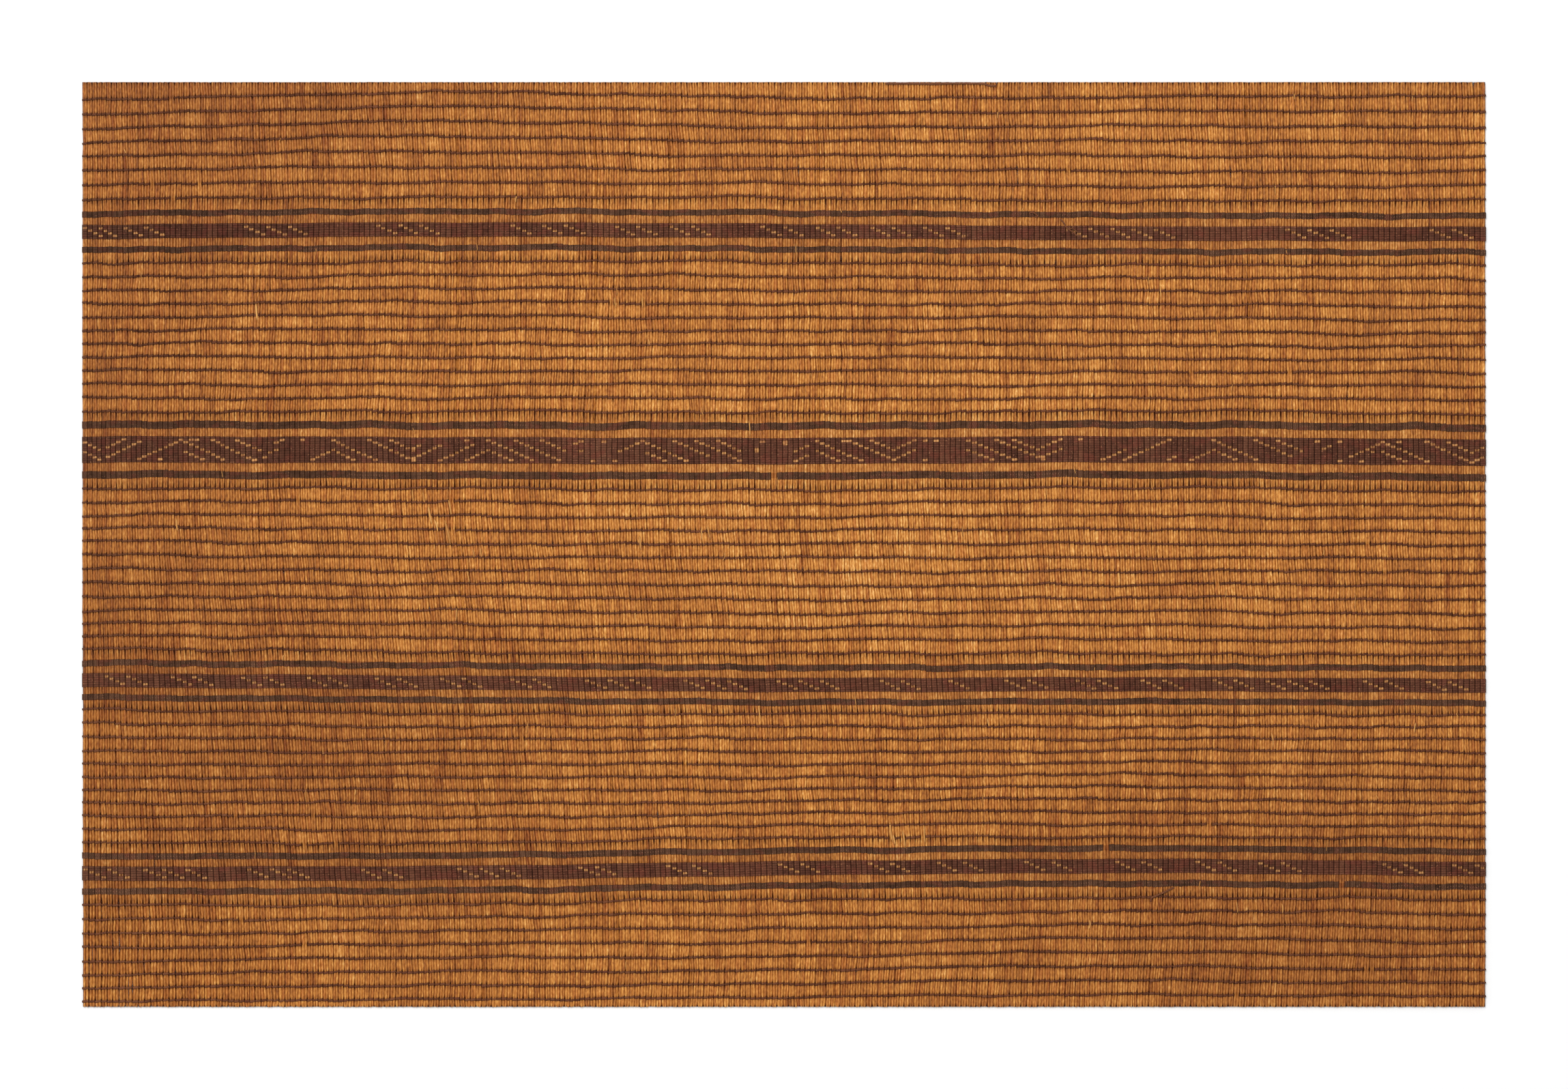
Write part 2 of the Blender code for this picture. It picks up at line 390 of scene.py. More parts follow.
def smooth_through(values, place):
    """Values read between those given, at a place counted in them from 0, on a smooth curve."""
    values = np.asarray(values)
    last = len(values) - 1
    left = np.clip(place.astype(int), 0, last - 1)
    share = np.clip(place - left, 0.0, 1.0)
    start, end = values[left], values[left + 1]
    slope_in = (end - values[np.maximum(left - 1, 0)]) / 2
    slope_out = (values[np.minimum(left + 2, last)] - start) / 2
    cubic = 2 * start - 2 * end + slope_in + slope_out
    square = -3 * start + 3 * end - 2 * slope_in - slope_out
    return ((cubic * share + square) * share + slope_in) * share + start


def read_stations(values, x):
    """A line's distance from the far edge at x, from its distances at even stations along X."""
    return smooth_through(values, (x / MAT_WIDTH + 0.5) * (len(values) - 1))


def ripple(x, number, ripples):
    """How far a line strays at x, for the line of that number."""
    shift = np.zeros_like(x)
    for wave in ripples:
        shift += wave["height"] * np.sin(math.tau * x / wave["length"] + wave["shift"] * number)
    return shift


def band_line(number, x):
    return read_stations(BANDS[number]["middle"], x) + ripple(x, number, BAND_RIPPLES)


def own_waves(x, lines):
    """Waves that differ from line to line, by line and x."""
    waves = np.zeros((lines, len(x)))
    for length in STRAY_LENGTHS:
        start = random.uniform(0.0, math.tau, (lines, 1))
        waves += np.sin(math.tau * x / length + start)
    return waves


def stray(x, lines):
    """How far each of several lines strays on its own, by line and x."""
    return STRAY_HEIGHT * own_waves(x, lines) * random.uniform(*STRAY_SHARES, (lines, 1))


def black_lines(x):
    """Distances of the black lines from the far edge at each x."""
    lines = []
    for number, band in enumerate(BANDS):
        reach = band["brown"] / 2 + band["gap"] + band["black"] / 2
        for side in (-1, 1):
            wave = ripple(x, len(lines), BLACK_RIPPLES)
            lines.append(band_line(number, x) + side * reach + wave)
    return np.array(lines)


def thin_lines(x):
    """Distances of the thin rows from the far edge at each x, as one array for each field."""
    fields = []
    limits = [read_stations(FIRST_ROW, x), *black_lines(x), read_stations(LAST_ROW, x)]
    last_field = len(THIN_ROWS_IN_FIELDS) - 1
    number = 0
    for field, count in enumerate(THIN_ROWS_IN_FIELDS):
        above, below = limits[2 * field], limits[2 * field + 1]
        # The first and last rows of the mat are limits themselves
        steps = count if field in (0, last_field) else count + 1
        first = 0 if field == 0 else 1
        rows = []
        for step in range(first, first + count):
            rows.append(above + (below - above) * step / steps + ripple(x, number, THIN_RIPPLES))
            number += 1
        fields.append(np.array(rows))
    return fields


def closed_tubes(name, points, attributes, material, sharp_angle=None):
    """One object of closed tubes. Points are given by tube, ring, side and axis, and so are the
    attributes but for the axis. Seen from a ring's start the sides turn so that the faces look out."""
    tubes, rings, sides, _ = points.shape
    number = np.arange(tubes * rings * sides).reshape(tubes, rings, sides)
    near, far = number[:, :-1], number[:, 1:]
    walls = np.stack([near, np.roll(near, -1, axis=2), np.roll(far, -1, axis=2), far], axis=-1)
    caps = []
    for corner in range(1, sides - 1, 2):
        fan = [0, corner, corner + 1, corner + 2]
        caps.append(number[:, 0, fan[::-1]])
        caps.append(number[:, -1, fan])
    mesh = bpy.data.meshes.new(name)
    mesh.from_pydata(points.reshape(-1, 3), [], np.concatenate([walls.reshape(-1, 4), *caps]))
    for key, values in attributes.items():
        spread = np.broadcast_to(values, (tubes, rings, sides)).astype(np.float32)
        mesh.attributes.new(key, "FLOAT", "POINT").data.foreach_set("value", spread.ravel())
    mesh.shade_smooth()
    if sharp_angle:
        mesh.set_sharp_from_angle(angle=math.radians(sharp_angle))
    mesh.materials.append(material)
    piece = bpy.data.objects.new(name, mesh)
    bpy.context.scene.collection.objects.link(piece)
    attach(piece, "root")
    return piece


def age_at(x, y, stains):
    """How old and brown the mat looks at a place."""
    age = np.zeros_like(x)
    for stain in stains:
        away = ((x - stain["x"]) / stain["across"]) ** 2 + ((y - stain["y"]) / stain["down"]) ** 2
        age += stain["older"] * np.exp(-away)
    return age


def drift(x, distance):
    """How far the reeds stand to the right of their even places, least at the mat's two sides."""
    share = distance / MAT_DEPTH
    aside = 2 * x / MAT_WIDTH
    moved = smooth_through(DRIFT, share * (len(DRIFT) - 1))
    moved = moved + aside * smooth_through(APART, share * (len(APART) - 1))
    return moved * (1 - np.abs(aside) ** DRIFT_POWER)


def bend(x, rings):
    """How far the reeds are pushed aside at each row, by reed and ring."""
    shift = np.zeros((len(x), rings))
    for length in BEND_LENGTHS:
        start = random.uniform(0.0, math.tau, rings)
        shift += BEND_HEIGHT * np.sin(math.tau * x[:, None] / length + start)
    return shift * np.clip((MAT_WIDTH / 2 - np.abs(x)) / STRAIGHT_MARGIN, 0.0, 1.0)[:, None]


def reed_widths():
    widths = np.clip(random.normal(1.0, REED_UNEVEN, REEDS), NARROWEST_REED, WIDEST_REED)
    return widths * (MAT_WIDTH - 2 * PROUD) / widths.sum()


def reed_rings(x):
    """X and distance from the far edge of each reed at its ends, thin rows and band middles. Given is
    the X that each reed has where none has moved aside."""
    fields = thin_lines(x)
    lines = [np.zeros(REEDS)]
    for number in range(len(BANDS)):
        lines += [*fields[number], band_line(number, x)]
    lines += [*fields[-1], np.full(REEDS, MAT_DEPTH)]
    distance = np.array(lines).T
    rings = distance.shape[1]
    distance[:, 0] += random.uniform(0.0, RAGGED_FAR, REEDS)
    distance[:, -1] -= random.uniform(0.0, RAGGED_NEAR, REEDS)
    place = x[:, None] + drift(x[:, None], distance) + bend(x, rings)
    place += np.repeat(random.normal(0.0, PAIR_STRAY, (PAIRS, rings)), 2, axis=0)
    return place + random.normal(0.0, REED_STRAY, distance.shape), distance


def inside_bands(ring_distance):
    """How far each ring lies inside the edges of a brown band, below 0 outside."""
    inside = np.full(ring_distance.shape, -1.0)
    ring = 0
    for band, thin_rows in zip(BANDS, THIN_ROWS_IN_FIELDS):
        ring += thin_rows + 1
        from_middle = np.abs(ring_distance - ring_distance[:, ring:ring + 1])
        inside = np.maximum(inside, band["brown"] / 2 - from_middle)
    return inside


def make_reeds(widths, ring_x, ring_distance, material):
    """All the reeds, as a left and a right half of the mat."""
    reeds, rings = ring_x.shape
    section = np.array(REED_SECTION)
    half_width = widths[:, None] / 2 + REED_SQUEEZE
    thickness = HALF_REED * random.uniform(*THICKNESS_SHARES, (reeds, 1))
    height = MIDDLE_HEIGHT + random.normal(0.0, REED_LIFT, (reeds, rings))
    points = np.empty((reeds, rings, len(section), 3))
    points[..., 0] = ring_x[..., None] + half_width[..., None] * section[:, 0]
    points[..., 1] = MAT_DEPTH / 2 - ring_distance[..., None]
    points[..., 2] = height[..., None] + thickness[..., None] * section[:, 1]
    number = np.arange(reeds)[:, None, None]
    outer = np.where(number % 2 == 0, -1.0, 1.0)
    age = age_at(points[..., 0], points[..., 1], STAINS)
    attributes = dict(
        reed_number=number,
        ring_number=np.arange(rings)[None, :, None],
        outer_side=outer * section[None, None, :, 0],
        age=age,
        inside_band=inside_bands(ring_distance)[..., None],
    )
    pieces = []
    for name, part in (("reeds_left", slice(0, PAIRS)), ("reeds_right", slice(PAIRS, REEDS))):
        own = {key: np.broadcast_to(value, points.shape[:3])[part] for key, value in attributes.items()}
        piece = closed_tubes(name, points[part], own, material, REED_SHARP)
        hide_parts("reed_sheet")
        pieces.append(piece)
    return pieces


def places_on_reeds(distance, ring_x, ring_distance):
    """X of each reed where rows cross it. Distance is given by row and reed."""
    x = np.empty_like(distance)
    for reed in range(REEDS):
        x[:, reed] = np.interp(distance[:, reed], ring_distance[reed], ring_x[reed])
    return x


def by_pair(values):
    return values.reshape(len(values), PAIRS, 2).mean(axis=2)


def near_pattern(hidden):
    """How much the thongs of a band pass behind the reeds round each pair, from 0 to 1."""
    around = np.ones(PATTERN_REACH) / PATTERN_REACH
    spots = np.convolve(hidden.sum(axis=0), around, "same")
    return np.clip(spots / FULL_PATTERN, 0.0, 1.0)[None]


def in_stations(gaps, lefts, rights):
    """Values along a row: gap, left shoulder and right shoulder of each pair, and the last gap."""
    along = np.empty((len(lefts), 3 * PAIRS + 1))
    along[:, 0::3] = gaps
    along[:, 1::3] = lefts
    along[:, 2::3] = rights
    return along


def by_gap(values):
    """Values by pair carried to the gaps, each to the gap on its right and the first to both sides."""
    return np.pad(values, ((0, 0), (1, 0)), mode="edge")


def thong_rows(name, x, distance, half_height, look, hidden, material):
    """Thong rows as closed tubes round the reeds. X and distance are given by row and reed, the half
    heights by row, and hidden by row and pair: 1 where the thong passes behind the pair."""
    rows = len(distance)
    centre_x, centre = by_pair(x), by_pair(distance)
    side = np.full((rows, 1), MAT_WIDTH / 2)
    gap_x = np.hstack([-side, (centre_x[:, 1:] + centre_x[:, :-1]) / 2, side])
    gap = np.hstack([centre[:, :1], (centre[:, 1:] + centre[:, :-1]) / 2, centre[:, -1:]])
    left_x = centre_x + SHOULDER * (gap_x[:, :-1] - centre_x)
    right_x = centre_x + SHOULDER * (gap_x[:, 1:] - centre_x)
    slant = look["slant"] * random.uniform(*SLANT_SHARES, (rows, PAIRS))
    jitter = random.normal(0.0, look["uneven"], (rows, PAIRS))

    front = OVER_PAIR + random.normal(0.0, FACE_STRAY, (rows, PAIRS))
    front = front + (BEHIND_REEDS - front) * hidden
    beside = np.maximum(np.pad(hidden, ((0, 0), (1, 0))), np.pad(hidden, ((0, 0), (0, 1))))
    gap_front = IN_GAP - (IN_GAP - BESIDE_SPOT) * beside
    back = -OVER_PAIR + random.normal(0.0, UNDERSIDE_STRAY, (rows, PAIRS))
    gap_back = np.full((rows, PAIRS + 1), -IN_GAP)

    place = in_stations(gap_x, left_x, right_x)
    y = MAT_DEPTH / 2 - in_stations(gap, centre + jitter + slant, centre + jitter - slant)
    high = in_stations(gap_front, front, front) + MIDDLE_HEIGHT
    low = np.maximum(in_stations(gap_back, back, back) + MIDDLE_HEIGHT, 0.0)
    swell = 1 + look["swell"] * by_pair(own_waves(x[0], rows))
    tall = half_height[:, None] * swell * random.uniform(look["least"], TALLEST, (rows, PAIRS))
    in_gaps = half_height[:, None] * look["pinch"] * np.ones((1, PAIRS + 1))
    half = in_stations(in_gaps, tall, tall)

    points = np.empty((rows, 3 * PAIRS + 1, 4, 3))
    points[..., 0] = place[..., None]
    points[..., 1] = y[..., None] + half[..., None] * np.array((1, -1, -1, 1))
    points[..., 2] = np.stack([high, high, low, low], axis=-1)
    tone = (random.uniform(0.0, 1.0, (1, PAIRS)) + random.uniform(0.0, 1.0, (rows, PAIRS))) / 2
    pattern = near_pattern(hidden)
    pair = np.arange(PAIRS)[None]
    inset = (1 - SHOULDER) / 2
    attributes = dict(
        age=age_at(points[..., 0], points[..., 1], GRIME),
        tone=in_stations(by_gap(tone), tone, tone)[..., None],
        pair_number=in_stations(np.arange(PAIRS + 1), pair + inset, pair + 1 - inset)[..., None],
        across=np.array((1.0, -1.0, -1.0, 1.0)),
        pattern=in_stations(by_gap(pattern), pattern, pattern)[..., None],
    )
    sharp = None if look["rounded"] else THONG_SHARP
    return closed_tubes(name, points, attributes, material, sharp)


def missed(x, distance):
    """Where stitches are left out, by row and pair."""
    gone = np.zeros(x.shape)
    for miss_x, miss_distance in MISSED_STITCHES:
        gone[(np.abs(x - miss_x) < REED_PITCH) & (np.abs(distance - miss_distance) < MISS_REACH)] = 1.0
    return gone


def make_thin_rows(even_x, ring_x, ring_distance, material):
    """The thin rows, as an upper and a lower half of the mat."""
    distance = np.vstack(thin_lines(even_x))
    distance += stray(even_x, len(distance))
    x = places_on_reeds(distance, ring_x, ring_distance)
    hidden = missed(by_pair(x), by_pair(distance))
    hidden[random.uniform(0.0, 1.0, hidden.shape) < MISS_CHANCE] = 1.0
    half_height = np.full(len(distance), THIN_HALF_HEIGHT)
    middle = len(distance) // 2
    pieces = []
    for name, part in (("thin_rows_upper", slice(0, middle)), ("thin_rows_lower", slice(middle, None))):
        piece = thong_rows(name, x[part], distance[part], half_height[part], THIN_LOOK,
                           hidden[part], material)
        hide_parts("reed_sheet")
        pieces.append(piece)
    return pieces


def strokes_of_band(number):
    """The strokes of a brown band: first pair, first row, number of spots, and rows down each pair along."""
    if number == WIDE_BAND:
        return WIDE_SPOTS
    strokes = []
    for start, count in NARROW_SPOTS[number]:
        strokes += [(start + DIAGONAL_PITCH * step, 0, NARROW_ROWS, 1) for step in range(count)]
    return strokes


def spots_of_band(number, x):
    """Where the patterned rows of a brown band pass behind the reeds, by row and pair. The strokes'
    starts are counted in even pairs from the left, and x is where each pair of each row really is."""
    spots = np.zeros((WIDE_ROWS if number == WIDE_BAND else NARROW_ROWS, PAIRS))
    middle = x[len(x) // 2]
    for start, row, count, down in strokes_of_band(number):
        even_x = (start + 0.5) * 2 * REED_PITCH - MAT_WIDTH / 2 + PROUD
        first = np.argmin(np.abs(middle - even_x))
        for step in range(min(count, PAIRS - first)):
            spots[row + down * step, first + step] = 1.0
    return spots


def make_brown_band(number, even_x, ring_x, ring_distance, material):
    """A brown band: patterned rows, with a plain border row above and below them."""
    band = BANDS[number]
    patterned = WIDE_ROWS if number == WIDE_BAND else NARROW_ROWS
    heights = np.array([BORDER_HEIGHT, *np.ones(patterned), BORDER_HEIGHT])
    heights *= band["brown"] / heights.sum()
    from_top = np.cumsum(heights) - heights / 2 - band["brown"] / 2
    distance = band_line(number, even_x) + from_top[:, None]
    x = places_on_reeds(distance, ring_x, ring_distance)
    hidden = np.zeros((len(heights), PAIRS))
    hidden[1:-1] = spots_of_band(number, by_pair(x))
    piece = thong_rows(f"band_{number + 1}_rows", x, distance, heights * BAND_FILL / 2, BAND_LOOK,
                       hidden, material)
    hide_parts(f"brown_band_{number + 1}")
    return piece


def make_black_line(number, even_x, ring_x, ring_distance, material):
    """A black line of two rows of doubled thong."""
    height = BANDS[number // 2]["black"]
    middle = black_lines(even_x)[number] + stray(even_x, 1)
    distance = np.vstack([middle - height / 4, middle + height / 4])
    x = places_on_reeds(distance, ring_x, ring_distance)
    hidden = missed(by_pair(x), by_pair(distance))
    half_height = np.full(2, height * BLACK_FILL / 4)
    piece = thong_rows(f"black_{number + 1}_rows", x, distance, half_height, BLACK_LOOK,
                       hidden, material)
    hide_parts(f"black_line_{number + 1}")
    return piece


def strands(name, centre, half_width, half_thickness, attributes, material):
    """Flat strands as closed tubes. The centre lines are given by strand, ring and axis, and the half
    widths by strand and ring."""
    along = np.gradient(centre[..., :2], axis=1)
    along /= np.linalg.norm(along, axis=2, keepdims=True)
    aside = np.stack([-along[..., 1], along[..., 0]], axis=-1) * half_width[..., None]
    points = np.repeat(centre[:, :, None, :], 4, axis=2)
    points[..., :2] += aside[:, :, None, :] * np.array((1.0, -1.0, -1.0, 1.0))[:, None]
    points[..., 2] += half_thickness * np.array((1.0, 1.0, -1.0, -1.0))
    return closed_tubes(name, points, attributes, material)


def make_slivers(material):
    """Split bits of reed that lie on top of the mat: the charted ones and fine fibres all over."""
    strewn = np.stack([
        random.uniform(*FIBRES_ACROSS, FIBRES) * MAT_WIDTH,
        random.uniform(*FIBRES_DOWN, FIBRES) * MAT_DEPTH,
        random.uniform(*FIBRE_LENGTHS, FIBRES),
        random.normal(*FIBRE_SHIFT, FIBRES),
        random.uniform(*FIBRE_WIDTHS, FIBRES),
    ], axis=1)
    for number, band in enumerate(BANDS):
        from_band = np.abs(strewn[:, 1] + strewn[:, 2] / 2 - band_line(number, strewn[:, 0]))
        strewn = strewn[from_band > band["brown"] / 2 + FIBRES_FROM_BAND]
    x, distance, length, shift, width = np.vstack([SLIVERS, strewn]).T[..., None]
    share = np.linspace(0.0, 1.0, SLIVER_RINGS)
    bow = random.normal(0.0, SLIVER_BOW, x.shape) * np.sin(math.pi * share)
    lift = random.uniform(0.0, SLIVER_LIFT, x.shape) - SLIVER_DROOP * (2 * share - 1) ** 2
    height = cad_high.z - SUNK + lift
    y = MAT_DEPTH / 2 - distance - length * share
    centre = np.stack([x + shift * share + bow, y, height], axis=-1)
    taper = np.interp(share, *SLIVER_TAPER)
    tone = random.uniform(0.0, 1.0, (len(x), 1, 1))
    return strands("slivers", centre, width * taper / 2, SLIVER_HALF, dict(tone=tone), material)


def make_loose_thongs(material):
    """Thong ends that have come away, and a last bit of row on the far edge."""
    pieces = []
    for number, thong in enumerate(LOOSE_THONGS):
        bends = np.array(thong["bends"])
        place = np.linspace(0.0, len(bends) - 1, THONG_RINGS)
        x, distance, lift = (smooth_through(values, place) for values in bends.T)
        centre = np.stack([x, MAT_DEPTH / 2 - distance, cad_high.z - SUNK + lift], axis=-1)[None]
        half_width = np.full((1, THONG_RINGS), thong["half"])
        pieces.append(strands(f"loose_thong_{number + 1}", centre, half_width, LOOSE_HALF, LOOSE_LOOK,
                              material))
    return pieces


def feed(tree, socket, value):
    """Give a socket a value, or link it to the socket that works the value out."""
    if isinstance(value, bpy.types.NodeSocket):
        tree.links.new(value, socket)
    else:
        socket.default_value = value


def calculate(tree, operation, *values):
    node = tree.nodes.new("ShaderNodeMath")
    node.operation = operation
    for socket, value in zip(node.inputs, values):
        feed(tree, socket, value)
    return node.outputs[0]


def rescale(tree, value, low, high, to_low, to_high):
    """Carry a value from one range to another, smoothly and no further."""
    node = tree.nodes.new("ShaderNodeMapRange")
    node.interpolation_type = "SMOOTHSTEP"
    for name, given in zip(("Value", "From Min", "From Max", "To Min", "To Max"),
                           (value, low, high, to_low, to_high)):
        feed(tree, node.inputs[name], given)
    return node.outputs["Result"]


def attribute(tree, name):
    node = tree.nodes.new("ShaderNodeAttribute")
    node.attribute_name = name
    return node.outputs["Fac"]


def vector(tree, x, y, z=0.0):
    node = tree.nodes.new("ShaderNodeCombineXYZ")
    for socket, value in zip(node.inputs, (x, y, z)):
        feed(tree, socket, value)
    return node.outputs[0]


def noise(tree, place, scale, detail=2.0):
    node = tree.nodes.new("ShaderNodeTexNoise")
    feed(tree, node.inputs["Vector"], place)
    node.inputs["Scale"].default_value = scale
    node.inputs["Detail"].default_value = detail
    return node.outputs["Fac"]


def one_of_many(tree, place):
    """A different value from 0 to 1 for each whole-numbered place."""
    node = tree.nodes.new("ShaderNodeTexWhiteNoise")
    feed(tree, node.inputs["Vector"], place)
    return node.outputs["Value"]


def noise_over(tree, scales, detail=2.0):
    """Noise over the whole object, with a scale of its own along each axis."""
    place = tree.nodes.new("ShaderNodeTexCoord").outputs["Object"]
    node = tree.nodes.new("ShaderNodeVectorMath")
    node.operation = "MULTIPLY"
    tree.links.new(place, node.inputs[0])
    node.inputs[1].default_value = scales
    return noise(tree, node.outputs[0], 1.0, detail)


def from_half(tree, value):
    """How far a value is from midway between whole numbers: 0 there, and 0.5 at a whole number."""
    return calculate(tree, "ABSOLUTE", calculate(tree, "SUBTRACT", calculate(tree, "FRACT", value), 0.5))


def ramp(tree, value, stops):
    node = tree.nodes.new("ShaderNodeValToRGB")
    feed(tree, node.inputs[0], value)
    elements = node.color_ramp.elements
    while len(elements) < len(stops):
        elements.new(1.0)
    for element, (position, colour) in zip(elements, stops):
        element.position = position
        element.color = (*colour, 1.0)
    return node.outputs[0]


def mix(tree, share, first, second, way="MIX"):
    """Two colours mixed or multiplied. Each is three numbers or a socket."""
    node = tree.nodes.new("ShaderNodeMix")
    node.data_type = "RGBA"
    node.blend_type = way
    feed(tree, node.inputs["Factor"], share)
    for socket, colour in ((node.inputs[6], first), (node.inputs[7], second)):
        feed(tree, socket, (*colour, 1.0) if isinstance(colour, tuple) else colour)
    return node.outputs[2]


def tint(tree, share, colour, by):
    """A colour multiplied by another as far as the share says."""
    return mix(tree, share, colour, by, "MULTIPLY")


def weighted(tree, *terms):
    """A sum of values, each with its weight, taken about a middle of one half."""
    total = 0.5
    for value, weight in terms:
        part = calculate(tree, "MULTIPLY_ADD", value, weight, -weight / 2)
        total = calculate(tree, "ADD", part, total)
    return total


def new_material(name):
    material = bpy.data.materials.new(name)
    material.use_nodes = True
    return material, material.node_tree


def finish_surface(tree, colour, height, bump_distance, roughness, specular):
    """Give the shader its colour, gloss and bump."""
    shader = tree.nodes["Principled BSDF"]
    tree.links.new(colour, shader.inputs["Base Color"])
    feed(tree, shader.inputs["Roughness"], roughness)
    shader.inputs["Specular IOR Level"].default_value = specular
    bump = tree.nodes.new("ShaderNodeBump")
    bump.inputs["Distance"].default_value = bump_distance
    tree.links.new(height, bump.inputs["Height"])
    tree.links.new(bump.outputs[0], shader.inputs["Normal"])


def reed_colour(tree, reed, ring, stretch, fibres):
    """The bare colour of the stalks. Each stretch between two rows has its own tone, with long streaks,
    patches, fine fibres and flecks, and some are redder, smudged, odd or old."""
    own_stretch = one_of_many(tree, vector(tree, reed, stretch))
    own_place = one_of_many(tree, vector(tree, reed, DRAWS["place"]))
    own_place = calculate(tree, "MULTIPLY", own_place, NOISE_LENGTH)
    runs = noise(tree, vector(tree, own_place, ring), 0.7)
    streaks = noise(tree, vector(tree, reed, calculate(tree, "MULTIPLY", ring, 2.0)), 0.31)
    beds = noise(tree, vector(tree, reed, calculate(tree, "MULTIPLY", stretch, 170.0)), 0.03)
    patches = noise_over(tree, (36.0, 9.0, 1.0), 3.0)
    clouds = noise_over(tree, (9.0, 6.0, 1.0), 3.0)
    flecks = noise_over(tree, (520.0, 170.0, 520.0), 3.0)
    tone = weighted(tree, (own_stretch, 0.26), (runs, 0.28), (streaks, 0.18), (beds, 0.30),
                    (patches, 0.46), (fibres, 0.30), (clouds, 0.30), (flecks, 1.28))
    age = attribute(tree, "age")
    fresh = calculate(tree, "MAXIMUM", calculate(tree, "MULTIPLY", age, -0.5), 0.0)
    colour = ramp(tree, calculate(tree, "ADD", tone, fresh), REED_TONES)

    redness = one_of_many(tree, vector(tree, reed, stretch, DRAWS["redness"]))
    colour = tint(tree, rescale(tree, redness, 0.60, 1.0, 0.0, 0.7), colour, REED_TINTS["redder"])
    smudge = noise_over(tree, (62.0, 12.0, 1.0), 4.0)
    colour = tint(tree, rescale(tree, smudge, 0.56, 0.76, 0.0, 0.8), colour, REED_TINTS["smudged"])
    colour = tint(tree, age, colour, REED_TINTS["old"])
    two_stretches = calculate(tree, "SNAP", ring, 2.0)
    odd = one_of_many(tree, vector(tree, reed, two_stretches, DRAWS["odd"]))
    return tint(tree, rescale(tree, odd, 0.94, 0.97, 0.0, 1.0), colour, REED_TINTS["odd"])


def shade_at_bands(tree, colour):
    """Painted shade on the bare reeds beside a brown band and where the reeds show inside a band or a
    black line, and inside a band patches of leather rubbed off on them as well."""
    inside = attribute(tree, "inside_band")
    # Painted shade on the bare reeds beside a brown band
    beside = rescale(tree, inside, -BARE_GAP - 0.0007, -BARE_GAP + 0.0007, 0.0, 1.0)
    colour = tint(tree, beside, colour, REED_TINTS["beside_band"])
    in_band = rescale(tree, inside, 0.0, 0.0006, 0.0, 1.0)
    colour = mix(tree, calculate(tree, "MULTIPLY", in_band, 0.65), colour, REED_IN_BAND)
    # Painted shade on the reeds where they show under a black line; inside a band painted shade with patches
    # of rubbed-off leather
    off_black = calculate(tree, "ABSOLUTE", calculate(tree, "ADD", inside, BLACK_FROM_BAND))
    in_black = rescale(tree, off_black, 0.0028, 0.0038, 0.8, 0.0)
    rub = noise_over(tree, (130.0, 260.0, 1.0))
    shade_and_rubbed_leather = calculate(tree, "MULTIPLY", in_band, rescale(tree, rub, 0.40, 0.60, 0.0, 0.85))
    shade_and_rubbed_leather = calculate(tree, "MAXIMUM", shade_and_rubbed_leather, in_black)
    return tint(tree, shade_and_rubbed_leather, colour, REED_TINTS["shade_and_rubbed_leather"])


def reed_material():
    """Dry golden stalks, with painted shade in the grooves, between pairs, beside the rows and in the
    dark notches where two pairs part at a row."""
    material, tree = new_material("dry_reed")
    reed = attribute(tree, "reed_number")
    ring = attribute(tree, "ring_number")
    outer = attribute(tree, "outer_side")
    stretch = calculate(tree, "FLOOR", ring)
    fibres = noise_over(tree, (2600.0, 40.0, 2600.0))
    colour = shade_at_bands(tree, reed_colour(tree, reed, ring, stretch, fibres))

    # Painted shade in the grooves between neighbouring reeds, deeper on some stretches of reed than others
    own_groove_shade_depth = one_of_many(tree, vector(tree, reed, stretch, DRAWS["groove_shade_depth"]))
    groove_shade_depth = rescale(tree, own_groove_shade_depth, 0.0, 1.0, 0.1, 1.0)
    groove_shade = rescale(tree, calculate(tree, "ABSOLUTE", outer), 0.15, 0.95, 0.0, groove_shade_depth)
    colour = tint(tree, groove_shade, colour, REED_TINTS["groove_shade"])

    # How far a place is from the middle of its stretch, 0.5 at the rows
    from_middle = from_half(tree, ring)
    # Painted shade between pairs of reeds, deeper on some stretches and deeper still near the rows
    parting = calculate(tree, "FLOOR", calculate(tree, "MULTIPLY_ADD", reed, 0.5, 0.5))
    own_depth = one_of_many(tree, vector(tree, parting, stretch, DRAWS["parting"]))
    depth = rescale(tree, own_depth, 0.0, 1.0, 0.4, 1.0)
    depth = calculate(tree, "MULTIPLY", depth, rescale(tree, from_middle, 0.0, 0.40, 0.35, 1.0))
    between_pairs = rescale(tree, outer, -0.15, 0.90, 0.0, depth)
    colour = tint(tree, between_pairs, colour, REED_TINTS["between_pairs"])
    shade = rescale(tree, from_middle, 0.20, 0.45, 0.0, 1.0)
    colour = tint(tree, shade, colour, REED_TINTS["near_row"])
    # Painted shade in the notches where two pairs part at a row, which the bump also presses in
    near_row = rescale(tree, from_middle, 0.24, 0.50, 0.0, 1.0)
    reach = calculate(tree, "MULTIPLY_ADD", near_row, -0.80, 1.10)
    notch = rescale(tree, calculate(tree, "SUBTRACT", outer, reach), -0.12, 0.25, 0.0, 1.0)
    colour = tint(tree, notch, colour, REED_TINTS["notch"])

    height = calculate(tree, "MULTIPLY_ADD", notch, -3.0, fibres)
    roughness = calculate(tree, "MULTIPLY_ADD", fibres, 0.25, 0.40)
    finish_surface(tree, colour, height, REED_BUMP, roughness, REED_SPECULAR)
    return material


def split_reed_material():
    """The pale inside of a stalk."""
    material, tree = new_material("split_reed")
    fibres = noise_over(tree, (2600.0, 60.0, 2600.0))
    tone = weighted(tree, (fibres, 0.5), (attribute(tree, "tone"), 0.7))
    colour = ramp(tree, tone, SPLIT_REED_TONES)
    finish_surface(tree, colour, fibres, REED_BUMP, 0.5, REED_SPECULAR)
    return material


